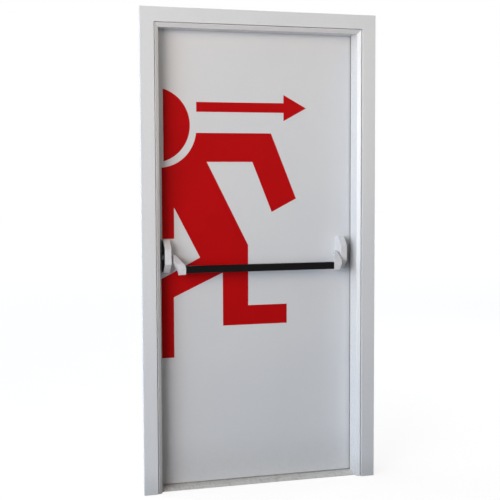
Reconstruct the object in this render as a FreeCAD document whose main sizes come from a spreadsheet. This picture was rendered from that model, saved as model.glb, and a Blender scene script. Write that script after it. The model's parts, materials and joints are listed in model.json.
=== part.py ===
# Steel emergency-exit door: folded frame, flush leaf and push bar.
# X runs across the opening, Y from the push side to the pull side, Z up from the floor.
# The origin is on the floor, mid-width and mid-depth of the frame.
import FreeCAD
import Part
import Sketcher
import os
import re

V = FreeCAD.Vector
X = V(1, 0, 0)
Y = V(0, 1, 0)
Z = V(0, 0, 1)
TINY = 0.001

# Driving dimensions in millimetres and degrees
SIZES = {
    # Frame outside
    "frame_width": 1100,
    "frame_height": 2150,
    "frame_depth": 156,
    # Frame profile: widths run inwards from the outer edge, depths back from the trim's face
    "steel_sheet": 2,
    "casing_width": 64,
    "casing_sheet": 1.5,
    "casing_return": 18,
    "casing_groove": 2.5,
    "flange_lap": 17,
    "nose_setback": 2.5,
    "splay_run": 18.5,
    "splay_angle": 35,
    "stop_depth": 95,
    "rebate_inset": 65,
    "pull_trim_inset": 30,
    "pull_trim_return": 10,
    "bend_radius": 2.5,
    "casing_bend": 2,
    # Threshold
    "sill_setback": 32,
    "sill_play": 0.5,
    "sill_height": 9,
    "sill_nose": 3,
    "sill_ramp": 20,
    # Sealing strips on the stop
    "seal_width": 12,
    "seal_inset": 2,
    "seal_space": 9,
    "seal_clearance": 0.3,
    # Leaf
    "lock_gap": 8,
    "hinge_gap": 5,
    "head_gap": 5,
    "floor_gap": 13,
    "leaf_sheet": 1.5,
    "leaf_bend": 1.4,
    # Lock faceplate
    "faceplate_width": 24,
    "faceplate_height": 235,
    "faceplate_thick": 3,
    "faceplate_play": 0.2,
    "faceplate_round": 3,
    "latch_width": 14,
    "latch_height": 32,
    "latch_play": 0.2,
    "latch_bevel": 2,
    "lock_height": 1055,
    # Strike box behind the lock-side rebate
    "strike_width": 30,
    "strike_height": 70,
    "strike_depth": 18,
    "strike_lip": 8,
    "strike_clearance": 1,
    # Wall anchors
    "anchor_thick": 3,
    "anchor_height": 120,
    "anchor_reach": 35,
    "anchor_width": 56,
    "anchor_setback": 34,
    "anchor_hole": 11,
    "anchor_hole_pitch": 80,
    "anchor_low": 260,
    "anchor_below_top": 330,
    # Hinges
    "hinge_axis_gap": 2.5,
    "hinge_axis_proud": 12,
    "knuckle_radius": 10,
    "knuckle_length": 39,
    "knuckle_play": 0.5,
    "hinge_pin_radius": 6,
    "pin_play": 0.05,
    "pin_head_thick": 4,
    "pin_head_lap": 3,
    "hinge_plate_thick": 4,
    "hinge_plate_start": 12.5,
    "hinge_plate_width": 23,
    "hinge_neck_lap": 4,
    "hinge_plate_round": 4,
    "hinge_low": 250,
    "hinge_below_top": 320,
    # Push bar housings, set in from the leaf's edges
    "lock_backset": 36,
    "hinge_backset": 57,
    "cover_width": 30,
    "cover_height": 148,
    "cover_depth": 75,
    "cover_bevel": 39,
    "cover_wall": 2.5,
    "cover_rise": 5,
    "cover_round": 1.2,
    "chassis_play": 0.3,
    "chassis_base": 4,
    "cheek_thick": 3,
    "cheek_recess": 0.8,
    # Pivot and lever arms
    "pivot_proud": 26,
    "pivot_radius": 5,
    "pivot_head_radius": 11,
    "pivot_head_thick": 3,
    "arm_gap": 11,
    "arm_ear": 7,
    "arm_boss_radius": 12,
    "arm_top_width": 19,
    "arm_foot_width": 27,
    "arm_span": 41.5,
    "arm_thick": 36,
    "arm_foot_lap": 5,
    "arm_round": 3,
    "spigot_length": 22,
    "spigot_play": 1.5,
    # Bar
    "bar_height": 32,
    "bar_depth": 25,
    "bar_round": 6,
    "bar_wall": 2,
    "bar_proud": 113,
    "bar_drop": 50,
}

doc = FreeCAD.newDocument("ExitDoor")
sheet = doc.addObject("Spreadsheet::Sheet", "Sizes")
for row, (alias, number) in enumerate(SIZES.items(), start=1):
    sheet.set(f"A{row}", alias)
    sheet.set(f"B{row}", str(number))
    sheet.setAlias(f"B{row}", alias)
doc.recompute()

nodes = []


# Expressions
def bound(text):
    """Prefix the sheet's aliases in a formula."""
    return re.sub(r"[a-z_]+", lambda m: "Sizes." + m.group() if m.group() in SIZES else m.group(), text)


def value(text):
    """The present value of a formula."""
    result = sheet.evalExpression(bound(text))
    return float(getattr(result, "Value", result))


def bind(obj, path, text):
    obj.setExpression(path, bound(text))


def place(obj, x="0", y="0", z="0", axis=None, angle=0):
    """Put an object's local origin at a point given by formulas, turned about an axis."""
    turn = FreeCAD.Rotation(axis, angle) if axis else FreeCAD.Rotation()
    obj.Placement = FreeCAD.Placement(V(value(x), value(y), value(z)), turn)
    bind(obj, "Placement.Base.x", x)
    bind(obj, "Placement.Base.y", y)
    bind(obj, "Placement.Base.z", z)


def node(obj, label):
    """Name a finished piece, to be written to a file of that name."""
    obj.Label = label
    nodes.append(obj)
    return obj


# Sketches and features
def new_body(name):
    return doc.addObject("PartDesign::Body", name)


def new_sketch(body, name, plane, offset="0"):
    sketch = body.newObject("Sketcher::SketchObject", body.Name + name)
    base = next(f for f in body.Origin.OriginFeatures if f.Role == plane)
    sketch.AttachmentSupport = [(base, "")]
    sketch.MapMode = "FlatFace"
    if offset != "0":
        bind(sketch, "AttachmentOffset.Base.z", offset)
    return sketch


def pin_point(sketch, geometry, end, x, y):
    """Tie a point of the sketch to two formulas."""
    for kind, text, axis in (("DistanceX", x, -2), ("DistanceY", y, -1)):
        if text == "0":
            sketch.addConstraint(Sketcher.Constraint("PointOnObject", geometry, end, axis))
            continue
        index = sketch.addConstraint(Sketcher.Constraint(kind, -1, 1, geometry, end, value(text)))
        bind(sketch, f"Constraints[{index}]", text)


def polygon(body, name, plane, points, offset="0"):
    """A closed outline through points given as pairs of formulas."""
    sketch = new_sketch(body, name, plane, offset)
    corners = [V(value(x), value(y), 0) for x, y in points]
    count = len(corners)
    for i in range(count):
        sketch.addGeometry(Part.LineSegment(corners[i], corners[(i + 1) % count]))
    for i in range(count):
        sketch.addConstraint(Sketcher.Constraint("Coincident", i, 2, (i + 1) % count, 1))
    for i, (x, y) in enumerate(points):
        pin_point(sketch, i, 1, x, y)
    return sketch


def rectangle(body, name, plane, x0, y0, x1, y1, offset="0"):
    return polygon(body, name, plane, [(x0, y0), (x1, y0), (x1, y1), (x0, y1)], offset)


def circle(body, name, plane, x, y, radius, offset="0"):
    sketch = new_sketch(body, name, plane, offset)
    sketch.addGeometry(Part.Circle(V(value(x), value(y), 0), Z, value(radius)))
    pin_point(sketch, 0, 3, x, y)
    index = sketch.addConstraint(Sketcher.Constraint("Radius", 0, value(radius)))
    bind(sketch, f"Constraints[{index}]", radius)
    return sketch


def pad(body, sketch, length, reverse=False):
    feature = body.newObject("PartDesign::Pad", sketch.Name + "Pad")
    feature.Profile = sketch
    feature.Reversed = reverse
    bind(feature, "Length", length)
    doc.recompute()
    return feature


def pocket(body, sketch, length=None, reverse=False):
    """Cut a sketch out of the body: to a length, or right through both ways."""
    before = body.Shape.Volume
    feature = body.newObject("PartDesign::Pocket", sketch.Name + "Pocket")
    feature.Profile = sketch
    feature.Reversed = reverse
    if length:
        bind(feature, "Length", length)
    else:
        feature.Type = "ThroughAll"
        feature.Midplane = True
    doc.recompute()
    if not body.Shape.Volume < before - 1:
        raise RuntimeError(feature.Name + " cuts nothing")
    return feature


def edges_where(body, test):
    """The names of the body's edges that pass a test."""
    return [f"Edge{number}" for number, edge in enumerate(body.Tip.Shape.Edges, start=1) if test(edge)]


def runs_along(edge, axis):
    """Whether an edge is straight and parallel to an axis."""
    return isinstance(edge.Curve, Part.Line) and edge.Curve.Direction.cross(axis).Length < TINY


def all_ends(edge, test):
    """Whether both ends of an edge pass a test."""
    return all(test(corner.Point) for corner in edge.Vertexes)


def round_edges(body, names, radius):
    base = body.Tip
    feature = body.newObject("PartDesign::Fillet", f"{body.Name}Round{len(body.Group)}")
    feature.Base = (base, names)
    bind(feature, "Radius", radius)
    doc.recompute()


def round_corners(body, spots, radius):
    """Round the body's upright edges over the given spots."""
    def over_spot(edge):
        foot = edge.Vertexes[0].Point
        foot.z = 0
        return runs_along(edge, Z) and any((foot - spot).Length < TINY for spot in spots)

    names = edges_where(body, over_spot)
    if len(names) != len(spots):
        raise RuntimeError(f"{body.Name}: {len(names)} edges over {len(spots)} spots")
    round_edges(body, names, radius)


def mirrored(source, label, x):
    """The opposite-hand copy of a piece, reflected in the plane at x."""
    copy = doc.addObject("Part::Mirroring", label + "Mirror")
    copy.Source = source
    copy.Normal = X
    bind(copy, "Base.x", x)
    return node(copy, label)


# Frame members share a local frame: x inwards from the outer edge, y back from the face, z along
LEG = "(casing_width + casing_groove)"
SOFFIT = "(casing_width + casing_groove + splay_run)"
SPLAY_RISE = "tan(splay_angle * 1deg)"
SKIN_RISE = "steel_sheet / cos(splay_angle * 1deg)"
SPLAY_END = f"nose_setback + splay_run * {SPLAY_RISE}"
SKIN_START = f"nose_setback + steel_sheet * {SPLAY_RISE} + {SKIN_RISE}"
SKIN_END = f"nose_setback + (splay_run - steel_sheet) * {SPLAY_RISE} + {SKIN_RISE}"
# A profile's corners are sharp, or the outside of a fold in the sheet
SHARP, FOLD = "sharp", "fold"


def member(name, corners, length, both_mitres, radius=None):
    """Extrude a profile, round its folds and cut its ends at 45 degrees: the far end, or both."""
    body = new_body(name)
    pad(body, polygon(body, "Profile", "XY_Plane", [(x, y) for x, y, kind in corners]), length)
    folds = [V(value(x), value(y), 0) for x, y, kind in corners if kind == FOLD]
    if folds:
        round_corners(body, folds, radius)
    reach = SOFFIT + " + steel_sheet"
    far = [("0", length), (reach, length), (reach, f"{length} - ({reach})")]
    pocket(body, polygon(body, "FarMitre", "XZ_Plane", far))
    if both_mitres:
        near = [("0", "0"), (reach, "0"), (reach, reach)]
        pocket(body, polygon(body, "NearMitre", "XZ_Plane", near))
    return body


def stand_left(body, z="0"):
    place(body, "-frame_width / 2", "-frame_depth / 2", z)
    return body


def lay_over(body):
    place(body, "-frame_width / 2", "-frame_depth / 2", "frame_height", Y, 90)
    return body


# Folded sheets and the strips, as corners in order
LINER = [
    ("casing_width - flange_lap", "casing_return", SHARP),
    (LEG, "casing_return", SHARP),
    (LEG, "nose_setback", FOLD),
    (SOFFIT, SPLAY_END, FOLD),
    (SOFFIT, "stop_depth", FOLD),
    ("rebate_inset", "stop_depth", SHARP),
    ("rebate_inset", "frame_depth", SHARP),
    ("rebate_inset - steel_sheet", "frame_depth", SHARP),
    ("rebate_inset - steel_sheet", "stop_depth - steel_sheet", FOLD),
    (f"{SOFFIT} - steel_sheet", "stop_depth - steel_sheet", SHARP),
    (f"{SOFFIT} - steel_sheet", SKIN_END, SHARP),
    (f"{LEG} + steel_sheet", SKIN_START, SHARP),
    (f"{LEG} + steel_sheet", "casing_return + steel_sheet", FOLD),
    ("casing_width - flange_lap", "casing_return + steel_sheet", SHARP),
]


def channel(outer, inner, face, lip, inner_lip, into):
    """A shallow trim channel: a face between two sides, each with a lip that returns to the wall."""
    skin = f"{face} {into} casing_sheet"
    return [
        (outer, face, FOLD),
        (inner, face, FOLD),
        (inner, inner_lip, SHARP),
        (f"{inner} - casing_sheet", inner_lip, SHARP),
        (f"{inner} - casing_sheet", skin, SHARP),
        (f"{outer} + casing_sheet", skin, SHARP),
        (f"{outer} + casing_sheet", lip, SHARP),
        (outer, lip, SHARP),
    ]


CASING = channel("0", "casing_width", "0", "casing_return", "casing_return", "+")

# The inner lip of the pull-side trim stops short of the strike box
LOCK_DEPTH = "((stop_depth + seal_space + frame_depth) / 2)"
STRIKE_BACK = f"{LOCK_DEPTH} + strike_width / 2 + strike_clearance"
PULL_TRIM = channel(
    "pull_trim_inset", "(rebate_inset - steel_sheet)", "frame_depth",
    "frame_depth - pull_trim_return", STRIKE_BACK, "-",
)

SEAL_BACK = "stop_depth + seal_space - seal_clearance"
SEAL = [
    (f"{SOFFIT} - seal_inset - seal_width", "stop_depth", SHARP),
    (f"{SOFFIT} - seal_inset", "stop_depth", SHARP),
    (f"{SOFFIT} - seal_inset", SEAL_BACK, SHARP),
    (f"{SOFFIT} - seal_inset - seal_width", SEAL_BACK, SHARP),
]

# Jambs and head
jamb_blank = stand_left(member("JambBlank", LINER, "frame_height", False, "bend_radius"))
mirrored(jamb_blank, "jamb_right", "0")

LOCK_Y = f"(-frame_depth / 2 + {LOCK_DEPTH})"
strike_hole = doc.addObject("Part::Box", "StrikeHole")
bind(strike_hole, "Length", "3 * steel_sheet")
bind(strike_hole, "Width", "strike_width - 2 * strike_lip")
bind(strike_hole, "Height", "strike_height - 2 * strike_lip")
place(
    strike_hole,
    "-frame_width / 2 + rebate_inset - 2 * steel_sheet",
    f"{LOCK_Y} - strike_width / 2 + strike_lip",
    "lock_height - strike_height / 2 + strike_lip",
)
jamb_left = doc.addObject("Part::Cut", "JambLeft")
jamb_left.Base = jamb_blank
jamb_left.Tool = strike_hole
node(jamb_left, "jamb_left")

node(lay_over(member("FrameHead", LINER, "frame_width", True, "bend_radius")), "frame_head")

# Face trim on both sides
for label, outline in (("casing", CASING), ("pull_trim", PULL_TRIM)):
    upright = stand_left(member(f"{label}_upright", outline, "frame_height", False, "casing_bend"))
    node(upright, f"{label}_left")
    mirrored(upright, f"{label}_right", "0")
    node(lay_over(member(f"{label}_lintel", outline, "frame_width", True, "casing_bend")), f"{label}_head")

# Sealing strips, standing on the threshold
seal_height = "(frame_height - sill_height)"
seal_left = stand_left(member("SealLeft", SEAL, seal_height, False), "sill_height")
node(seal_left, "gasket_left")
mirrored(seal_left, "gasket_right", "0")
node(lay_over(member("SealHead", SEAL, "frame_width", True)), "gasket_head")

# Threshold plate with a ramped front edge, wider behind the stops
sill = new_body("Sill")
sill_width = "(frame_width - 2 * rebate_inset - 2 * sill_play)"
sill_step = f"({SOFFIT} - rebate_inset)"
sill_neck = "(stop_depth - sill_setback + sill_play)"
sill_depth = "(frame_depth - sill_setback)"
plan = [
    (sill_step, "0"),
    (f"{sill_width} - {sill_step}", "0"),
    (f"{sill_width} - {sill_step}", sill_neck),
    (sill_width, sill_neck),
    (sill_width, sill_depth),
    ("0", sill_depth),
    ("0", sill_neck),
    (sill_step, sill_neck),
]
pad(sill, polygon(sill, "Plan", "XY_Plane", plan), "sill_height")
ramp = [("0", "sill_nose"), ("sill_ramp", "sill_height"), ("0", "sill_height")]
pocket(sill, polygon(sill, "Ramp", "YZ_Plane", ramp))
place(sill, f"-{sill_width} / 2", "-frame_depth / 2 + sill_setback")
node(sill, "threshold")

# Wall anchors: U-shaped straps welded to the hidden side of the soffit
ANCHOR_WEB = f"({SOFFIT} - steel_sheet - anchor_reach)"


def anchor(name, z):
    body = new_body(name)
    foot = f"{SOFFIT} - steel_sheet"
    near = "anchor_setback"
    far = "anchor_setback + anchor_width"
    outline = [
        (ANCHOR_WEB, near),
        (foot, near),
        (foot, f"{near} + anchor_thick"),
        (f"{ANCHOR_WEB} + anchor_thick", f"{near} + anchor_thick"),
        (f"{ANCHOR_WEB} + anchor_thick", f"{far} - anchor_thick"),
        (foot, f"{far} - anchor_thick"),
        (foot, far),
        (ANCHOR_WEB, far),
    ]
    pad(body, polygon(body, "Profile", "XY_Plane", outline), "anchor_height")
    middle = "anchor_setback + anchor_width / 2"
    for hole, side in (("LowHole", "-"), ("HighHole", "+")):
        height = f"anchor_height / 2 {side} anchor_hole_pitch / 2"
        bore = circle(body, hole, "YZ_Plane", middle, height, "anchor_hole / 2")
        pocket(body, bore)
    return stand_left(body, z)


for number in (1, 2, 3):
    pitch = "(frame_height - anchor_low - anchor_below_top) / 2"
    strap = anchor(f"Anchor{number}", f"anchor_low + {number - 1} * {pitch} - anchor_height / 2")
    node(strap, f"wall_anchor_left_{number}")
    mirrored(strap, f"wall_anchor_right_{number}", "0")

# Strike box: a dust box welded behind the punched hole
strike = new_body("StrikeBox")
block = rectangle(strike, "Outline", "YZ_Plane", "0", "0", "strike_width", "strike_height")
pad(strike, block, "strike_depth")
hollow = rectangle(
    strike, "Hollow", "YZ_Plane", "steel_sheet", "steel_sheet",
    "strike_width - steel_sheet", "strike_height - steel_sheet", "steel_sheet",
)
pocket(strike, hollow, "strike_depth", True)
place(
    strike,
    "-frame_width / 2 + rebate_inset - steel_sheet - strike_depth",
    f"{LOCK_Y} - strike_width / 2",
    "lock_height - strike_height / 2",
)
node(strike, "strike_box")

# Leaf: a folded push-side pan, a core and a pull-side skin
LEAF_X = "(-frame_width / 2 + rebate_inset + lock_gap)"
LEAF_Y = "(-frame_depth / 2 + stop_depth + seal_space)"
leaf_width = "(frame_width - 2 * rebate_inset - lock_gap - hinge_gap)"
leaf_height = "(frame_height - rebate_inset - head_gap - floor_gap)"
leaf_thick = "(frame_depth - stop_depth - seal_space)"

pan = new_body("LeafPan")
pad(pan, rectangle(pan, "Outline", "XZ_Plane", "0", "0", leaf_width, leaf_height),
    f"{leaf_thick} - leaf_sheet", True)
round_edges(pan, edges_where(pan, lambda edge: all_ends(edge, lambda spot: spot.y < TINY)), "leaf_bend")
tray = rectangle(
    pan, "Tray", "XZ_Plane", "leaf_sheet", "leaf_sheet",
    f"{leaf_width} - leaf_sheet", f"{leaf_height} - leaf_sheet", "-leaf_sheet",
)
pocket(pan, tray, leaf_thick)
slot = rectangle(
    pan, "FaceplateSlot", "YZ_Plane",
    f"{leaf_thick} / 2 - faceplate_width / 2 - faceplate_play",
    "lock_height - floor_gap - faceplate_height / 2 - faceplate_play",
    f"{leaf_thick} / 2 + faceplate_width / 2 + faceplate_play",
    "lock_height - floor_gap + faceplate_height / 2 + faceplate_play",
)
pocket(pan, slot, "leaf_sheet", True)
slot_middle = value("lock_height - floor_gap")
slot_span = value("faceplate_height")


def at_slot(spot):
    return abs(spot.z - slot_middle) < slot_span


slot_corners = edges_where(pan, lambda edge: runs_along(edge, X) and all_ends(edge, at_slot))
round_edges(pan, slot_corners, "faceplate_round + faceplate_play")
place(pan, LEAF_X, LEAF_Y, "floor_gap")
node(pan, "leaf_front_skin")

back = new_body("LeafBack")
pad(back, rectangle(back, "Outline", "XZ_Plane", "0", "0", leaf_width, leaf_height), "leaf_sheet", True)
place(back, LEAF_X, "frame_depth / 2 - leaf_sheet", "floor_gap")
node(back, "leaf_back_skin")

core = doc.addObject("Part::Box", "LeafCore")
bind(core, "Length", f"{leaf_width} - faceplate_thick - leaf_sheet")
bind(core, "Width", f"{leaf_thick} - 2 * leaf_sheet")
bind(core, "Height", f"{leaf_height} - 2 * leaf_sheet")
place(core, f"{LEAF_X} + faceplate_thick", f"{LEAF_Y} + leaf_sheet", "floor_gap + leaf_sheet")
node(core, "leaf_core")

# Lock faceplate, flush with the lock edge, with its latch opening
faceplate = new_body("Faceplate")
pad(faceplate, rectangle(faceplate, "Outline", "YZ_Plane", "0", "0", "faceplate_width", "faceplate_height"),
    "faceplate_thick")
round_edges(faceplate, edges_where(faceplate, lambda edge: runs_along(edge, X)), "faceplate_round")
opening = rectangle(
    faceplate, "LatchOpening", "YZ_Plane",
    "faceplate_width / 2 - latch_width / 2", "faceplate_height / 2 - latch_height / 2",
    "faceplate_width / 2 + latch_width / 2", "faceplate_height / 2 + latch_height / 2",
)
pocket(faceplate, opening)
place(
    faceplate, LEAF_X, f"{LEAF_Y} + {leaf_thick} / 2 - faceplate_width / 2",
    "lock_height - faceplate_height / 2",
)
node(faceplate, "lock_faceplate")

# Latch, held back flush with its faceplate, with the slant on the side that closes
bolt_width = "(latch_width - 2 * latch_play)"
bolt = new_body("LatchBolt")
slant = [
    ("latch_bevel", "0"),
    ("faceplate_thick", "0"),
    ("faceplate_thick", bolt_width),
    ("0", bolt_width),
    ("0", "faceplate_thick"),
]
pad(bolt, polygon(bolt, "Slant", "XY_Plane", slant), "latch_height - 2 * latch_play")
place(
    bolt, LEAF_X, f"{LEAF_Y} + {leaf_thick} / 2 - {bolt_width} / 2",
    "lock_height - latch_height / 2 + latch_play",
)
node(bolt, "latch_bolt")

# Hinges: a frame half with two knuckles, a leaf half with one between them, and a headed pin
HINGE_X = "(frame_width / 2 - rebate_inset - hinge_axis_gap)"
HINGE_Y = "(frame_depth / 2 + hinge_axis_proud)"
hinge_length = "(3 * knuckle_length + 2 * knuckle_play)"


def hinge_half(name, knuckles):
    """A plate beside the axis and its knuckles; local x points from the axis to the plate."""
    body = new_body(name)
    plate_face = "hinge_axis_proud - hinge_plate_thick"
    plate = rectangle(
        body, "Plate", "XY_Plane", "hinge_plate_start", plate_face,
        "hinge_plate_start + hinge_plate_width", "hinge_axis_proud", f"-{hinge_length} / 2",
    )
    pad(body, plate, hinge_length)
    free_side = value("hinge_plate_start + hinge_plate_width")

    def at_free_side(spot):
        return abs(spot.x - free_side) < TINY

    free_corners = edges_where(body, lambda edge: runs_along(edge, Y) and all_ends(edge, at_free_side))
    round_edges(body, free_corners, "hinge_plate_round")
    for index, start in enumerate(knuckles, start=1):
        barrel = circle(body, f"Barrel{index}", "XY_Plane", "0", "0", "knuckle_radius", start)
        pad(body, barrel, "knuckle_length")
        neck = rectangle(
            body, f"Neck{index}", "XY_Plane", "0", "knuckle_radius - hinge_plate_thick",
            "hinge_plate_start + hinge_neck_lap", "knuckle_radius", start,
        )
        pad(body, neck, "knuckle_length")
    bore = circle(body, "Bore", "XY_Plane", "0", "0", "hinge_pin_radius + pin_play")
    pocket(body, bore)
    return body


def hinge_pin(name):
    body = new_body(name)
    shank = circle(body, "Shank", "XY_Plane", "0", "0", "hinge_pin_radius", f"-{hinge_length} / 2")
    pad(body, shank, hinge_length)
    head_radius = "hinge_pin_radius + pin_head_lap"
    head = circle(body, "Head", "XY_Plane", "0", "0", head_radius, f"{hinge_length} / 2")
    pad(body, head, "pin_head_thick")
    return body


for number in (1, 2, 3):
    pitch = "(frame_height - hinge_low - hinge_below_top) / 2"
    height = f"hinge_low + {number - 1} * {pitch}"
    low_and_high = [f"-{hinge_length} / 2", f"{hinge_length} / 2 - knuckle_length"]
    outer = hinge_half(f"HingeFrame{number}", low_and_high)
    place(outer, HINGE_X, HINGE_Y, height, X, 180)
    node(outer, f"hinge_frame_{number}")
    inner = hinge_half(f"HingeLeaf{number}", ["-knuckle_length / 2"])
    place(inner, HINGE_X, HINGE_Y, height, Z, 180)
    node(inner, f"hinge_leaf_{number}")
    axle = hinge_pin(f"HingePin{number}")
    place(axle, HINGE_X, HINGE_Y, height)
    node(axle, f"hinge_pin_{number}")

# Push bar gear: local x outwards to the left from the bar's centre, y out from the leaf, z up
BAR_X = f"({LEAF_X} + ({leaf_width} + lock_backset - hinge_backset) / 2)"
REACH = f"(({leaf_width} - lock_backset - hinge_backset) / 2)"
COVER_IN = f"({REACH} - cover_width)"
ARM_OUT = f"({COVER_IN} - arm_gap)"
ARM_FOOT = f"({ARM_OUT} - arm_span)"
BAR_Z = "(lock_height - bar_drop)"
COVER_LOW = "(lock_height + cover_rise - cover_height / 2)"
PIVOT = ("pivot_proud", "lock_height")


def on_leaf(body):
    place(body, BAR_X, LEAF_Y, "0", Z, 180)
    return body


def both_hands(body, label):
    node(on_leaf(body), label + "_left")
    mirrored(body, label + "_right", BAR_X)


def housing_outline(inset):
    """The cover's side view, drawn in from the leaf with bevelled front corners."""
    low = f"{COVER_LOW} + {inset}"
    high = f"{COVER_LOW} + cover_height - ({inset})"
    front = f"cover_depth - ({inset})"
    bevel = f"(cover_bevel - ({inset}) * (1 - tan(22.5deg)))"
    return [
        ("0", low),
        (f"{front} - {bevel}", low),
        (front, f"{low} + {bevel}"),
        (front, f"{high} - {bevel}"),
        (f"{front} - {bevel}", high),
        ("0", high),
    ]


# Housing covers: shells open to the leaf and to the outer side
cover = new_body("Cover")
pad(cover, polygon(cover, "Outline", "YZ_Plane", housing_outline("0"), COVER_IN), "cover_width")
free_edges = edges_where(cover, lambda edge: all_ends(edge, lambda spot: spot.y > TINY))
round_edges(cover, free_edges, "cover_round")
cavity = polygon(cover, "Cavity", "YZ_Plane", housing_outline("cover_wall"), f"{COVER_IN} + cover_wall")
pocket(cover, cavity, "cover_width", True)
pin_hole = circle(cover, "PinHole", "YZ_Plane", *PIVOT, "pivot_radius + pin_play", COVER_IN)
pocket(cover, pin_hole, "cover_wall", True)
both_hands(cover, "bar_housing_cover")

# Chassis: a cheek that closes the cover's outer side, on a base that is fixed to the leaf
chassis = new_body("Chassis")
cheek_in = f"({REACH} - cheek_recess - cheek_thick)"
cheek = polygon(chassis, "Cheek", "YZ_Plane", housing_outline("cover_wall + chassis_play"), cheek_in)
pad(chassis, cheek, "cheek_thick")
base = rectangle(
    chassis, "Base", "YZ_Plane", "0", f"{COVER_LOW} + cover_wall + chassis_play",
    "chassis_base", f"{COVER_LOW} + cover_height - cover_wall - chassis_play",
    f"{COVER_IN} + cover_wall + chassis_play",
)
pad(chassis, base, f"{cheek_in} - {COVER_IN} - cover_wall - chassis_play")
pin_hole = circle(chassis, "PinHole", "YZ_Plane", *PIVOT, "pivot_radius + pin_play", cheek_in)
pocket(chassis, pin_hole, "cheek_thick", True)
both_hands(chassis, "bar_chassis")

# Pivot pin, headed on the cheek and reaching through the arm's ear
pivot = new_body("PivotPin")
pin_in = f"({ARM_OUT} - arm_ear)"
pin_out = f"({REACH} - cheek_recess)"
pad(pivot, circle(pivot, "Shank", "YZ_Plane", *PIVOT, "pivot_radius", pin_in), f"{pin_out} - {pin_in}")
pad(pivot, circle(pivot, "Head", "YZ_Plane", *PIVOT, "pivot_head_radius", pin_out), "pivot_head_thick")
both_hands(pivot, "bar_pivot_pin")

# Lever arm: a cranked side view, narrowed in the front and top views, with an ear on the pivot pin
arm = new_body("Arm")
bar_top = f"({BAR_Z} + bar_height / 2)"
bar_low = f"({BAR_Z} - bar_height / 2)"
bar_front = "(bar_proud + bar_depth / 2 + arm_foot_lap)"
bar_back = "(bar_proud - bar_depth / 2)"
side = [
    ("pivot_proud", "lock_height - arm_boss_radius"),
    ("pivot_proud + arm_thick / 2", "lock_height - arm_boss_radius * 2"),
    (f"{bar_back} - arm_thick / 2", f"{BAR_Z}"),
    (f"{bar_back} - arm_foot_lap", f"{bar_low} - 2 * arm_foot_lap"),
    (bar_front, f"{bar_low} - arm_foot_lap"),
    (bar_front, f"{bar_top} - 2 * arm_foot_lap"),
    ("bar_proud", f"{bar_top} + 2 * arm_foot_lap"),
    ("pivot_proud + 2 * arm_boss_radius", "lock_height + arm_boss_radius"),
    ("pivot_proud", "lock_height + arm_boss_radius"),
]
pad(arm, polygon(arm, "Side", "YZ_Plane", side, ARM_FOOT), "arm_span")
round_edges(arm, edges_where(arm, lambda edge: runs_along(edge, X)), "arm_round")
pad(arm, circle(arm, "Ear", "YZ_Plane", *PIVOT, "arm_boss_radius", f"{ARM_OUT} - arm_ear"), "arm_ear")
arm_low = f"{bar_low} - arm_thick"
arm_high = "lock_height + arm_thick"
outer_cut = [
    (f"{ARM_FOOT} + arm_foot_width", arm_low),
    (f"{ARM_OUT} + arm_gap", arm_low),
    (f"{ARM_OUT} + arm_gap", f"{bar_top} + 2 * arm_foot_lap"),
    (ARM_OUT, f"{bar_top} + 2 * arm_foot_lap"),
    (f"{ARM_FOOT} + arm_foot_width", bar_low),
]
inner_cut = [
    (f"{ARM_FOOT} - arm_gap", bar_top),
    (ARM_FOOT, bar_top),
    (f"{ARM_OUT} - arm_top_width", "lock_height + arm_boss_radius"),
    (f"{ARM_OUT} - arm_top_width", arm_high),
    (f"{ARM_FOOT} - arm_gap", arm_high),
]
pocket(arm, polygon(arm, "OuterCut", "XZ_Plane", outer_cut))
pocket(arm, polygon(arm, "InnerCut", "XZ_Plane", inner_cut))
back_cut = [
    (f"{ARM_FOOT} - arm_gap", "0"),
    (f"{ARM_OUT} - arm_ear", "0"),
    (f"{ARM_OUT} - arm_ear", "pivot_proud + arm_boss_radius"),
    (f"{ARM_FOOT} + arm_boss_radius", bar_back),
    (ARM_FOOT, "bar_proud"),
    (f"{ARM_FOOT} - arm_gap", "bar_proud"),
]
pocket(arm, polygon(arm, "BackCut", "XY_Plane", back_cut, bar_top), "lock_height", True)
spigot_inset = "(bar_wall + spigot_play)"
spigot = rectangle(
    arm, "Spigot", "YZ_Plane",
    f"{bar_back} + {spigot_inset}", f"{bar_low} + {spigot_inset}",
    f"bar_proud + bar_depth / 2 - {spigot_inset}", f"{bar_top} - {spigot_inset}",
    f"{ARM_FOOT} - spigot_length",
)
pad(arm, spigot, "spigot_length")
pocket(arm, circle(arm, "PivotBore", "YZ_Plane", *PIVOT, "pivot_radius + pin_play"))
both_hands(arm, "bar_arm")

# Bar: a rounded rectangular tube between the arms' feet
bar = new_body("Bar")
tube = rectangle(
    bar, "Outside", "YZ_Plane", bar_back, bar_low, "bar_proud + bar_depth / 2", bar_top, f"-{ARM_FOOT}",
)
pad(bar, tube, f"2 * {ARM_FOOT}")
round_edges(bar, edges_where(bar, lambda edge: runs_along(edge, X)), "bar_round")
hollow = rectangle(
    bar, "Inside", "YZ_Plane", f"{bar_back} + bar_wall", f"{bar_low} + bar_wall",
    "bar_proud + bar_depth / 2 - bar_wall", f"{bar_top} - bar_wall",
)
pocket(bar, hollow)
node(on_leaf(bar), "push_bar")

# Check every object, then write one file for each piece
doc.recompute()
for obj in doc.Objects:
    if "Invalid" in obj.State or "Error" in obj.State:
        raise RuntimeError(f"{obj.Name} did not compute: {obj.State}")
for piece in nodes:
    if piece.Shape.isNull() or not piece.Shape.isValid() or piece.Shape.Volume <= 0:
        raise RuntimeError(f"{piece.Label} has no valid solid")
os.makedirs("parts", exist_ok=True)
for piece in nodes:
    piece.Shape.exportStep(f"parts/{piece.Label}.step")
    print(f"{piece.Label}: {len(piece.Shape.Solids)} solid, {piece.Shape.Volume / 1000:.1f} cm3")
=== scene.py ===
# Looks for the steel exit door: paints and metals, the red exit figure, the screws and the studio
import json
import math

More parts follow.
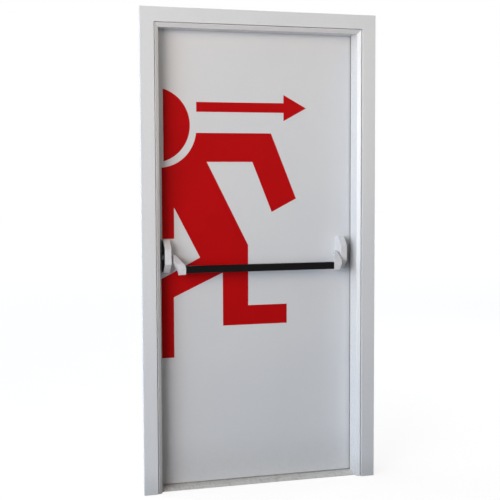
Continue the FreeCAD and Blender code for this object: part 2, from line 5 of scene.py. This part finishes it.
import bmesh
import bpy
from mathutils import Matrix, Vector


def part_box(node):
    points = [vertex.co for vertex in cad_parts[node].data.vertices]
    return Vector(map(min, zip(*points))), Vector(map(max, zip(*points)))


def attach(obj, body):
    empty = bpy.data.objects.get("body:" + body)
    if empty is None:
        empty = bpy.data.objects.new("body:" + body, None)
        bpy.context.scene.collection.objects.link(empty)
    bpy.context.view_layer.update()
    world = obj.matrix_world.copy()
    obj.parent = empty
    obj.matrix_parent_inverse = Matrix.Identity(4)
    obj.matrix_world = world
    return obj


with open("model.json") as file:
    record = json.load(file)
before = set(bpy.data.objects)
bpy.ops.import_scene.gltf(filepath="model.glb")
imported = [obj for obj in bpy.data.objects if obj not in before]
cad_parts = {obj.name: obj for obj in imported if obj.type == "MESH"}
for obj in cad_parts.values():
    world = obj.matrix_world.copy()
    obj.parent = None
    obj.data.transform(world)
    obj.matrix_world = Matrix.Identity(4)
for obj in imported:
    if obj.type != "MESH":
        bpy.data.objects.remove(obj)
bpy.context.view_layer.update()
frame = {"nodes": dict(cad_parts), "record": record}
nodes = frame["nodes"]


# Colours are written as sRGB levels from 0 to 255
def rgb(red, green, blue):
    def linear(level):
        share = level / 255
        return share / 12.92 if share <= 0.04045 else ((share + 0.055) / 1.055) ** 2.4

    return (linear(red), linear(green), linear(blue), 1.0)


class Paint:
    """A material with short ways to add the textures that it uses, in metres on the object."""

    def __init__(self, name, roughness=0.5, metallic=0.0, specular=0.5):
        self.material = bpy.data.materials.new(name)
        self.material.use_nodes = True
        self.tree = self.material.node_tree
        self.shader = self.tree.nodes["Principled BSDF"]
        self.shader.inputs["Roughness"].default_value = roughness
        self.shader.inputs["Metallic"].default_value = metallic
        self.shader.inputs["Specular IOR Level"].default_value = specular
        self.place = self.node("ShaderNodeTexCoord").outputs["Object"]

    def node(self, kind, **settings):
        made = self.tree.nodes.new(kind)
        for key, setting in settings.items():
            setattr(made, key, setting)
        return made

    def join(self, source, target):
        self.tree.links.new(source, target)

    def set(self, socket, value):
        if isinstance(value, bpy.types.NodeSocket):
            self.join(value, socket)
        else:
            socket.default_value = value

    def stretched(self, scale):
        mapping = self.node("ShaderNodeMapping")
        mapping.inputs["Scale"].default_value = scale
        self.join(self.place, mapping.inputs["Vector"])
        return mapping.outputs["Vector"]

    def noise(self, scale, detail=3.0, roughness=0.55, stretch=None):
        made = self.node("ShaderNodeTexNoise")
        made.inputs["Scale"].default_value = scale
        made.inputs["Detail"].default_value = detail
        made.inputs["Roughness"].default_value = roughness
        self.join(self.stretched(stretch) if stretch else self.place, made.inputs["Vector"])
        return made.outputs["Fac"]

    def cells(self, scale, output="Color"):
        made = self.node("ShaderNodeTexVoronoi")
        made.inputs["Scale"].default_value = scale
        self.join(self.place, made.inputs["Vector"])
        return made.outputs[output]

    def axis(self, name):
        split = self.node("ShaderNodeSeparateXYZ")
        self.join(self.place, split.inputs["Vector"])
        return split.outputs[name]

    def span(self, value, low, high, start=0.0, end=1.0):
        """A value between low and high, moved to the range from start to end."""
        made = self.node("ShaderNodeMapRange", interpolation_type="SMOOTHSTEP")
        self.set(made.inputs["Value"], value)
        for name, number in zip(("From Min", "From Max", "To Min", "To Max"), (low, high, start, end)):
            made.inputs[name].default_value = number
        return made.outputs["Result"]

    def math(self, operation, first, second):
        made = self.node("ShaderNodeMath", operation=operation)
        self.set(made.inputs[0], first)
        self.set(made.inputs[1], second)
        return made.outputs["Value"]

    def mix(self, share, first, second):
        made = self.node("ShaderNodeMix", data_type="RGBA")
        self.set(made.inputs["Factor"], share)
        self.set(made.inputs["A"], first)
        self.set(made.inputs["B"], second)
        return made.outputs["Result"]

    def colour(self, value):
        self.set(self.shader.inputs["Base Color"], value)

    def gloss(self, value):
        self.set(self.shader.inputs["Roughness"], value)

    def relief(self, *layers):
        """Bump from several heights, each with its depth in metres."""
        normal = None
        for height, depth in layers:
            made = self.node("ShaderNodeBump")
            made.inputs["Strength"].default_value = 1.0
            made.inputs["Distance"].default_value = depth
            self.join(height, made.inputs["Height"])
            if normal:
                self.join(normal, made.inputs["Normal"])
            normal = made.outputs["Normal"]
        self.join(normal, self.shader.inputs["Normal"])


# Materials
def powder_coat(name, tone, shade, dirt, floor_reach, wave=0.0):
    """Baked paint: fine orange peel, faint clouding, and a darker tone towards the floor that is partly
    dust and partly painted shade.
    """
    paint = Paint(name, specular=0.45)
    cloud = paint.span(paint.noise(2.2, detail=2.0), 0.35, 0.65)
    base = paint.mix(cloud, tone, shade)
    # Towards the floor the paint is mixed with the dirt colour: partly dust, partly painted shade where
    # less light reaches near the floor
    low = paint.span(paint.axis("Z"), 0.0, floor_reach, 1.0, 0.0)
    specks = paint.span(paint.noise(38.0, detail=6.0, roughness=0.7), 0.4, 0.75, 0.22, 0.3)
    paint.colour(paint.mix(paint.math("MULTIPLY", low, specks), base, dirt))
    paint.gloss(paint.span(paint.noise(420.0, detail=2.0), 0.3, 0.7, 0.25, 0.29))
    layers = [(paint.noise(750.0, detail=2.0), 0.00005)]
    if wave:
        layers.append((paint.noise(2.6, detail=1.0, roughness=0.4, stretch=(1.0, 1.0, 0.6)), wave))
    paint.relief(*layers)
    return paint.material


def sill_paint():
    """Worn threshold: scuffs along the way through, and brownish dirt."""
    paint = Paint("sill_steel", specular=0.4)
    scuff = paint.span(paint.noise(30.0, detail=5.0, roughness=0.7, stretch=(9.0, 0.7, 1.0)), 0.45, 0.7)
    worn = paint.mix(scuff, rgb(222, 218, 213), rgb(194, 190, 185))
    dirt = paint.span(paint.noise(16.0, detail=6.0, roughness=0.65), 0.5, 0.72)
    paint.colour(paint.mix(paint.math("MULTIPLY", dirt, 0.3), worn, rgb(138, 130, 118)))
    paint.gloss(paint.span(scuff, 0.0, 1.0, 0.38, 0.6))
    paint.relief((paint.noise(420.0, detail=3.0), 0.0001), (scuff, 0.00015))
    return paint.material


def rubber():
    paint = Paint("seal_rubber", specular=0.35)
    bloom = paint.span(paint.noise(60.0, detail=4.0), 0.4, 0.7)
    paint.colour(paint.mix(bloom, rgb(24, 24, 26), rgb(44, 44, 46)))
    paint.gloss(paint.span(bloom, 0.0, 1.0, 0.62, 0.8))
    paint.relief((paint.noise(900.0, detail=2.0), 0.00008))
    return paint.material


def zinc():
    paint = Paint("zinc_steel", metallic=1.0)
    spangle = paint.span(paint.cells(140.0), 0.0, 1.0)
    paint.colour(paint.mix(spangle, rgb(150, 153, 156), rgb(196, 199, 201)))
    paint.gloss(paint.span(spangle, 0.0, 1.0, 0.34, 0.55))
    paint.relief((paint.noise(300.0, detail=3.0), 0.00005))
    return paint.material


def wool():
    paint = Paint("leaf_filling", roughness=0.95, specular=0.1)
    fibre = paint.noise(90.0, detail=8.0, roughness=0.8, stretch=(1.0, 6.0, 1.0))
    paint.colour(paint.mix(paint.span(fibre, 0.35, 0.65), rgb(168, 146, 92), rgb(206, 188, 138)))
    paint.relief((fibre, 0.0015))
    return paint.material


def brushed_steel():
    paint = Paint("plain_steel", metallic=1.0)
    lines = paint.noise(60.0, detail=4.0, roughness=0.7, stretch=(12.0, 12.0, 1.0))
    paint.colour(paint.mix(lines, rgb(168, 168, 170), rgb(205, 206, 208)))
    paint.gloss(paint.span(lines, 0.3, 0.7, 0.22, 0.42))
    paint.relief((lines, 0.00004))
    return paint.material


def black_coat(name, tone, rub):
    """Black coat with fine texture and faint rubbed lines."""
    paint = Paint(name, specular=0.06)
    streaks = paint.noise(22.0, detail=6.0, roughness=0.75, stretch=(0.6, 5.0, 5.0))
    marks = paint.span(streaks, 0.52, 0.75)
    paint.colour(paint.mix(marks, tone, rub))
    paint.gloss(paint.span(paint.noise(45.0, detail=4.0), 0.3, 0.7, 0.3, 0.46))
    paint.relief((paint.noise(1300.0, detail=2.0), 0.00004))
    return paint.material


def silver_coat():
    """Silver-grey lacquer on cast metal: fine flakes and a slightly cast surface."""
    paint = Paint("housing_silver", metallic=0.05, specular=0.5)
    flakes = paint.span(paint.cells(2600.0, "Distance"), 0.1, 0.7)
    tone = paint.mix(flakes, rgb(225, 224, 226), rgb(214, 214, 217))
    smudge = paint.span(paint.noise(26.0, detail=5.0), 0.5, 0.8)
    paint.colour(paint.mix(paint.math("MULTIPLY", smudge, 0.5), tone, rgb(190, 188, 188)))
    paint.gloss(paint.span(paint.noise(55.0, detail=3.0), 0.3, 0.7, 0.36, 0.5))
    paint.relief((paint.noise(260.0, detail=3.0), 0.00006))
    return paint.material


def red_film():
    """Self-adhesive film: even red with faint texture and slight fading."""
    paint = Paint("red_film", specular=0.08)
    fade = paint.span(paint.noise(3.0, detail=3.0), 0.35, 0.7)
    paint.colour(paint.mix(fade, rgb(192, 10, 14), rgb(184, 10, 14)))
    paint.gloss(paint.span(paint.noise(20.0, detail=4.0), 0.3, 0.7, 0.42, 0.55))
    paint.relief((paint.noise(650.0, detail=2.0), 0.00005))
    return paint.material


FRAME_TONE = rgb(227, 227, 228)
FRAME_SHADE = rgb(225, 225, 227)
LEAF_TONE = rgb(223, 224, 226)
LEAF_SHADE = rgb(221, 222, 225)
# Dust colour near the floor, which also serves as painted shade there
DUST_AND_SHADE = rgb(150, 146, 138)
HINGE_DIRT = rgb(120, 118, 114)
materials = {
    "frame_paint": powder_coat("frame_paint", FRAME_TONE, FRAME_SHADE, DUST_AND_SHADE, floor_reach=0.12),
    "leaf_paint": powder_coat("leaf_paint", LEAF_TONE, LEAF_SHADE, DUST_AND_SHADE, floor_reach=0.26, wave=0.0003),
    "hinge_steel": powder_coat("hinge_steel", FRAME_TONE, FRAME_SHADE, HINGE_DIRT, floor_reach=0.2),
    "sill_steel": sill_paint(),
    "seal_rubber": rubber(),
    "zinc_steel": zinc(),
    "leaf_filling": wool(),
    "plain_steel": brushed_steel(),
    "chassis_black": black_coat("chassis_black", rgb(26, 26, 28), rgb(44, 44, 46)),
    "housing_silver": silver_coat(),
    "bar_black": black_coat("bar_black", rgb(17, 16, 17), rgb(26, 24, 24)),
}
film = red_film()

for row in frame["record"]["subparts"]:
    mesh = nodes[row["node"]].data
    mesh.materials.clear()
    mesh.materials.append(materials[row["material_slot"]])


# Pieces
def add_piece(name, mesh_maker, material, body):
    """Build a mesh in the row frame and let it ride on a body."""
    build = bmesh.new()
    mesh_maker(build)
    bmesh.ops.recalc_face_normals(build, faces=build.faces)
    mesh = bpy.data.meshes.new(name)
    build.to_mesh(mesh)
    build.free()
    piece = bpy.data.objects.new(name, mesh)
    bpy.context.scene.collection.objects.link(piece)
    mesh.materials.append(material)
    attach(piece, body)


# Exit figure: red film on the leaf's push face, trimmed short of the stop, measured across and up
LEAF_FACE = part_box("leaf_front_skin")[0].y
FILM = 0.0003
HEAD_TRIM, ARM_TRIM, LEG_TRIM = -0.428, -0.437, -0.443
HEAD_AT, HEAD_RADIUS = Vector((-0.474, 1.645)), 0.168
NECK_AT, NECK_RADIUS = Vector((-0.451, 1.629)), 0.174
ARC_STEPS = 40


def film_sheet(build, outline):
    """A thin sheet on the leaf from an outline of points across and up."""
    front = [build.verts.new((x, LEAF_FACE - FILM, z)) for x, z in outline]
    back = [build.verts.new((x, LEAF_FACE, z)) for x, z in outline]
    build.faces.new(front)
    build.faces.new(list(reversed(back)))
    count = len(outline)
    for i in range(count):
        j = (i + 1) % count
        build.faces.new((front[i], back[i], back[j], front[j]))
    build.normal_update()
    bmesh.ops.triangulate(build, faces=[f for f in build.faces if len(f.verts) > 4])


def arc(centre, radius, start, end):
    """Points round a centre between two angles, in degrees from the right."""
    points = []
    for step in range(ARC_STEPS + 1):
        angle = math.radians(start + (end - start) * step / ARC_STEPS)
        points.append((centre.x + radius * math.cos(angle), centre.y + radius * math.sin(angle)))
    return points


def reach_angle(centre, radius, trim):
    """The angle from the right at which an arc meets a trimmed edge."""
    return math.degrees(math.acos((trim - centre.x) / radius))


def figure_head(build):
    half = reach_angle(HEAD_AT, HEAD_RADIUS, HEAD_TRIM)
    film_sheet(build, arc(HEAD_AT, HEAD_RADIUS, -half, half))


ARM_TOP, ARM_LOW = 1.6115, 1.481
ELBOW_TIP, ELBOW_CROOK, ARMPIT = 0.076, -0.0135, -0.2285
HAND_TIP, HAND_HEEL = (0.1975, 1.3115), (0.079, 1.2505)
SHIN_FRONT, SHIN_BACK = -0.0355, -0.1565
KNEE_FRONT, KNEE_BACK = 1.100, 0.976
FOOT_TOP, FOOT_LOW, FOOT_END = 0.8215, 0.7315, 0.1515
REAR_LEG, REAR_LEG_TOP, REAR_KNEE, REAR_LEG_END = -0.386, 0.955, 0.8705, 0.595
SEAT = (-0.263, 1.048)
REAR_ARM, REAR_ARM_TOP, REAR_ARM_END = -0.382, 1.277, 1.1355
NECK_SIDE = -math.degrees(math.asin((NECK_AT.y - ARM_TOP) / NECK_RADIUS))


def figure_body(build):
    neck = arc(NECK_AT, NECK_RADIUS, -reach_angle(NECK_AT, NECK_RADIUS, ARM_TRIM), NECK_SIDE)
    front_arm = [
        (ELBOW_TIP, ARM_TOP), HAND_TIP, HAND_HEEL, (ELBOW_CROOK, ARM_LOW), (ARMPIT, ARM_LOW),
    ]
    front_leg = [
        (SHIN_FRONT, KNEE_FRONT), (SHIN_FRONT, FOOT_TOP), (FOOT_END, FOOT_TOP), (FOOT_END, FOOT_LOW),
        (SHIN_BACK, FOOT_LOW), (SHIN_BACK, KNEE_BACK),
    ]
    rear_leg = [
        (REAR_LEG, REAR_KNEE), (REAR_LEG, REAR_LEG_END), (LEG_TRIM, REAR_LEG_END),
        (LEG_TRIM, REAR_LEG_TOP), SEAT,
    ]
    rear_arm = [(REAR_ARM, REAR_ARM_TOP), (REAR_ARM, REAR_ARM_END), (ARM_TRIM, REAR_ARM_END)]
    film_sheet(build, neck + front_arm + front_leg + rear_leg + rear_arm)


# Arrow above the figure's arm
ARROW_TAIL, ARROW_TIP = -0.276, 0.247
ARROW_MIDDLE = 1.728
ARROW_SHAFT_HALF = 0.022
ARROW_HEAD_HALF = 0.060
ARROW_HEAD_LENGTH = 0.110


def exit_arrow(build):
    neck = ARROW_TIP - ARROW_HEAD_LENGTH
    low, high = ARROW_MIDDLE - ARROW_SHAFT_HALF, ARROW_MIDDLE + ARROW_SHAFT_HALF
    barb_low, barb_high = ARROW_MIDDLE - ARROW_HEAD_HALF, ARROW_MIDDLE + ARROW_HEAD_HALF
    film_sheet(build, [
        (ARROW_TAIL, low), (neck, low), (neck, barb_low), (ARROW_TIP, ARROW_MIDDLE),
        (neck, barb_high), (neck, high), (ARROW_TAIL, high),
    ])


add_piece("exit_figure_head", figure_head, film, "leaf")
add_piece("exit_figure_body", figure_body, film, "leaf")
add_piece("exit_arrow", exit_arrow, film, "leaf")

# Screws: a domed head with a six-sided socket, its profile in shares of radius and rise
RING = 24
SIDES = 6
DOME = ((1.0, 0.0), (1.0, 0.45), (0.88, 0.82), (0.68, 1.0))
SOCKET_WIDTH = 0.5
SOCKET_TOP, SOCKET_FLOOR = 1.0, 0.25


def screw_head(build, centre, outwards, radius, rise):
    """A screw head that stands on a face at centre and points outwards."""
    turn = Vector((0, 0, 1)).rotation_difference(Vector(outwards)).to_matrix().to_4x4()
    spot = Matrix.Translation(centre) @ turn
    angles = [2 * math.pi * i / RING for i in range(RING)]

    def point(reach, angle, height):
        return build.verts.new(spot @ Vector((reach * math.cos(angle), reach * math.sin(angle), height)))

    def circle(size, height):
        return [point(size, angle, height) for angle in angles]

    def hexagon(size, height):
        points = []
        for angle in angles:
            wedge = (angle % (2 * math.pi / SIDES)) - math.pi / SIDES
            reach = size * math.cos(math.pi / SIDES) / math.cos(wedge)
            points.append(point(reach, angle, height))
        return points

    rings = [circle(radius * width, rise * height) for width, height in DOME]
    rings += [hexagon(radius * SOCKET_WIDTH, rise * height) for height in (SOCKET_TOP, SOCKET_FLOOR)]
    for lower, upper in zip(rings, rings[1:]):
        for i in range(RING):
            j = (i + 1) % RING
            build.faces.new((lower[i], lower[j], upper[j], upper[i]))
    build.faces.new(rings[-1])
    build.faces.new(list(reversed(rings[0])))


def screw_row(name, spots, outwards, radius, rise, body_name):
    def make(build):
        for spot in spots:
            screw_head(build, Vector(spot), outwards, radius, rise)

    add_piece(name, make, materials["plain_steel"], body_name)


# Hinge screws: three on each plate, the middle one set further in, on the pull side
HINGE_COUNT = 3
HINGE_SCREW_RADIUS = 0.0045
HINGE_SCREW_RISE = 0.0016
PLATE_THICK = 0.004
TO_PULL_SIDE = (0, 1, 0)
PULL_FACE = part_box("leaf_back_skin")[1].y
SCREW_ROWS = (0.18, 0.5, 0.82)
SCREW_INSETS = (0.008, 0.014, 0.008)
for number in range(1, HINGE_COUNT + 1):
    for half, body_name, side in (("frame", "door_frame", 1), ("leaf", "leaf", -1)):
        low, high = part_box(f"hinge_{half}_{number}")
        edge = high.x if side > 0 else low.x
        spots = [
            (edge - side * inset, PULL_FACE + PLATE_THICK, low.z + share * (high.z - low.z))
            for share, inset in zip(SCREW_ROWS, SCREW_INSETS)
        ]
        name = f"hinge_{half}_screws_{number}"
        screw_row(name, spots, TO_PULL_SIDE, HINGE_SCREW_RADIUS, HINGE_SCREW_RISE, body_name)

# Lock faceplate screws, one near each end
FACE_SCREW_RADIUS = 0.0038
FACE_SCREW_RISE = 0.0006
FACE_SCREW_INSET = 0.014
TO_LOCK_SIDE = (-1, 0, 0)
plate_low, plate_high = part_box("lock_faceplate")
plate_mid = (plate_low + plate_high) / 2
screw_heights = (plate_low.z + FACE_SCREW_INSET, plate_high.z - FACE_SCREW_INSET)
face_spots = [(plate_low.x, plate_mid.y, z) for z in screw_heights]
screw_row("faceplate_screws", face_spots, TO_LOCK_SIDE, FACE_SCREW_RADIUS, FACE_SCREW_RISE, "leaf")


# Camera, fitted to the photograph
IMAGE_PIXELS = 500
FOCAL_PIXELS = 1053.274
SENSOR = 36.0
FAR_CLIP = 200.0
CAMERA_AT = Vector((-1.39376, -4.61710, 1.42121))
YAW, PITCH, ROLL = 0.286463, 0.0710711, -0.0038252

forward = Vector((math.sin(YAW) * math.cos(PITCH), math.cos(YAW) * math.cos(PITCH), -math.sin(PITCH)))
level = Vector((math.cos(YAW), -math.sin(YAW), 0.0))
upright = level.cross(forward)
right = math.cos(ROLL) * level + math.sin(ROLL) * upright
up = -math.sin(ROLL) * level + math.cos(ROLL) * upright
lens = bpy.data.cameras.new("camera")
lens.sensor_width = SENSOR
lens.lens = SENSOR * FOCAL_PIXELS / IMAGE_PIXELS
lens.clip_end = FAR_CLIP
camera = bpy.data.objects.new("camera", lens)
turned = Matrix((right, up, -forward)).transposed().to_4x4()
camera.matrix_world = Matrix.Translation(CAMERA_AT) @ turned
bpy.context.scene.collection.objects.link(camera)
bpy.context.scene.camera = camera


# Lamps, placed round the door by angle from the front and by elevation, in degrees
LAMP_DISTANCE = 5.5
MID_HEIGHT = 1.2
WIDE = 180.0
SMALL, LARGE = 1.4, 2.4


def lamp(name, turn, rise, size, watts, colour, aim=MID_HEIGHT, spread=WIDE):
    """A round lamp at a set distance from the door's middle, aimed at a height on its axis."""
    turn, rise = math.radians(turn), math.radians(rise)
    away = Vector((math.sin(turn) * math.cos(rise), -math.cos(turn) * math.cos(rise), math.sin(rise)))
    data = bpy.data.lights.new(name, "AREA")
    data.shape = "DISK"
    data.size = size
    data.energy = watts
    data.color = colour
    data.spread = math.radians(spread)
    holder = bpy.data.objects.new(name, data)
    holder.location = Vector((0.0, 0.0, MID_HEIGHT)) + LAMP_DISTANCE * away
    sight = Vector((0.0, 0.0, aim)) - holder.location
    holder.rotation_euler = sight.to_track_quat("-Z", "Y").to_euler()
    bpy.context.scene.collection.objects.link(holder)


lamp("key", -34, 5, SMALL, 65.0, (0.77, 0.83, 1.0))
lamp("left", -50, 3, LARGE, 83.0, (0.97, 0.98, 1.0))
lamp("top", -35, 16, LARGE, 16.0, (1.0, 0.74, 0.43), aim=2.1, spread=80.0)
lamp("fill", 40, 12, LARGE, 4.7, (1.0, 0.88, 0.72), aim=2.3, spread=60.0)
lamp("side", 70, 12, LARGE, 3.0, (1.0, 0.99, 0.89), aim=2.3, spread=50.0)
lamp("rear", 112, 12, LARGE, 60.0, (1.0, 0.98, 0.95))


def reckon(tree, operation, first, second):
    """One step of arithmetic on a socket and either a second socket or a number."""
    made = tree.nodes.new("ShaderNodeMath")
    made.operation = operation
    tree.links.new(first, made.inputs[0])
    if isinstance(second, bpy.types.NodeSocket):
        tree.links.new(second, made.inputs[1])
    else:
        made.inputs[1].default_value = second
    return made.outputs["Value"]


def seen_directly(tree):
    """One where a ray comes from the camera, a reflection or a clear surface."""
    path = tree.nodes.new("ShaderNodeLightPath")
    share = path.outputs["Is Camera Ray"]
    for name in ("Is Glossy Ray", "Is Transmission Ray"):
        share = reckon(tree, "MAXIMUM", share, path.outputs[name])
    return share


def either_way(tree, for_light, for_sight, output_kind):
    """Use one shader for the rays that carry light and another for those that are seen directly."""
    either = tree.nodes.new("ShaderNodeMixShader")
    result = tree.nodes.new(output_kind)
    tree.links.new(seen_directly(tree), either.inputs["Fac"])
    tree.links.new(for_light, either.inputs[1])
    tree.links.new(for_sight, either.inputs[2])
    tree.links.new(either.outputs["Shader"], result.inputs["Surface"])


def added(tree, first, second):
    """Two shaders added together."""
    both = tree.nodes.new("ShaderNodeAddShader")
    tree.links.new(first, both.inputs[0])
    tree.links.new(second, both.inputs[1])
    return both.outputs["Shader"]


# World: white to the eye, with a cool sky on the left and a softer one behind for light
WHITE = (1.0, 1.0, 1.0, 1.0)
LEFT_SKY, LEFT_STRENGTH = (0.65, 0.84, 1.0, 1.0), 3.2
BACK_SKY, BACK_STRENGTH = (0.96, 0.98, 1.0, 1.0), 1.0
SKY_POWER = 2.0
world = bpy.data.worlds.new("studio")
world.use_nodes = True
bpy.context.scene.world = world
world_tree = world.node_tree
world_tree.nodes.clear()
coordinate = world_tree.nodes.new("ShaderNodeTexCoord")
direction = world_tree.nodes.new("ShaderNodeSeparateXYZ")
world_tree.links.new(coordinate.outputs["Generated"], direction.inputs["Vector"])


def sky_side(axis, sign, colour, strength):
    """Sky light that comes from one side and fades with the square of the direction's share."""
    towards = reckon(world_tree, "MULTIPLY", direction.outputs[axis], sign)
    facing = reckon(world_tree, "MAXIMUM", towards, 0.0)
    square = reckon(world_tree, "POWER", facing, SKY_POWER)
    glow = world_tree.nodes.new("ShaderNodeBackground")
    glow.inputs["Color"].default_value = colour
    world_tree.links.new(reckon(world_tree, "MULTIPLY", square, strength), glow.inputs["Strength"])
    return glow.outputs["Background"]


left_sky = sky_side("X", -1.0, LEFT_SKY, LEFT_STRENGTH)
back_sky = sky_side("Y", 1.0, BACK_SKY, BACK_STRENGTH)
white = world_tree.nodes.new("ShaderNodeBackground")
white.inputs["Color"].default_value = WHITE
both_skies = added(world_tree, left_sky, back_sky)
either_way(world_tree, both_skies, white.outputs["Background"], "ShaderNodeOutputWorld")

# Floor: white to the eye, partly by the light that falls on it, so that the door's shadow shows faintly
FLOOR_HALF = 30.0
FLOOR_DROP = 0.0005
FLOOR_BOUNCE = rgb(66, 72, 80)
FLOOR_CATCH = (0.35, 0.315, 0.3, 1.0)
GLOW_NEAR, GLOW_FAR = 0.79, 0.875
GLOW_REACH = 12.0
floor_mesh = bpy.data.meshes.new("floor")
corners = [(x * FLOOR_HALF, y * FLOOR_HALF, 0) for x, y in ((-1, -1), (1, -1), (1, 1), (-1, 1))]
floor_mesh.from_pydata(corners, [], [(0, 1, 2, 3)])
floor = bpy.data.objects.new("floor", floor_mesh)
floor.location.z = -FLOOR_DROP
bpy.context.scene.collection.objects.link(floor)
floor_paint = bpy.data.materials.new("floor")
floor_paint.use_nodes = True
floor_tree = floor_paint.node_tree
floor_tree.nodes.clear()


def matt(colour):
    made = floor_tree.nodes.new("ShaderNodeBsdfDiffuse")
    made.inputs["Color"].default_value = colour
    return made.outputs["BSDF"]


place = floor_tree.nodes.new("ShaderNodeTexCoord")
distance = floor_tree.nodes.new("ShaderNodeVectorMath")
distance.operation = "LENGTH"
floor_tree.links.new(place.outputs["Object"], distance.inputs[0])
glow = floor_tree.nodes.new("ShaderNodeMapRange")
for name, number in (("From Max", GLOW_REACH), ("To Min", GLOW_NEAR), ("To Max", GLOW_FAR)):
    glow.inputs[name].default_value = number
floor_tree.links.new(distance.outputs["Value"], glow.inputs["Value"])
shine = floor_tree.nodes.new("ShaderNodeEmission")
floor_tree.links.new(glow.outputs["Result"], shine.inputs["Strength"])
lit = added(floor_tree, shine.outputs["Emission"], matt(FLOOR_CATCH))
either_way(floor_tree, matt(FLOOR_BOUNCE), lit, "ShaderNodeOutputMaterial")
floor_mesh.materials.append(floor_paint)

bpy.context.scene.view_settings.view_transform = "Standard"
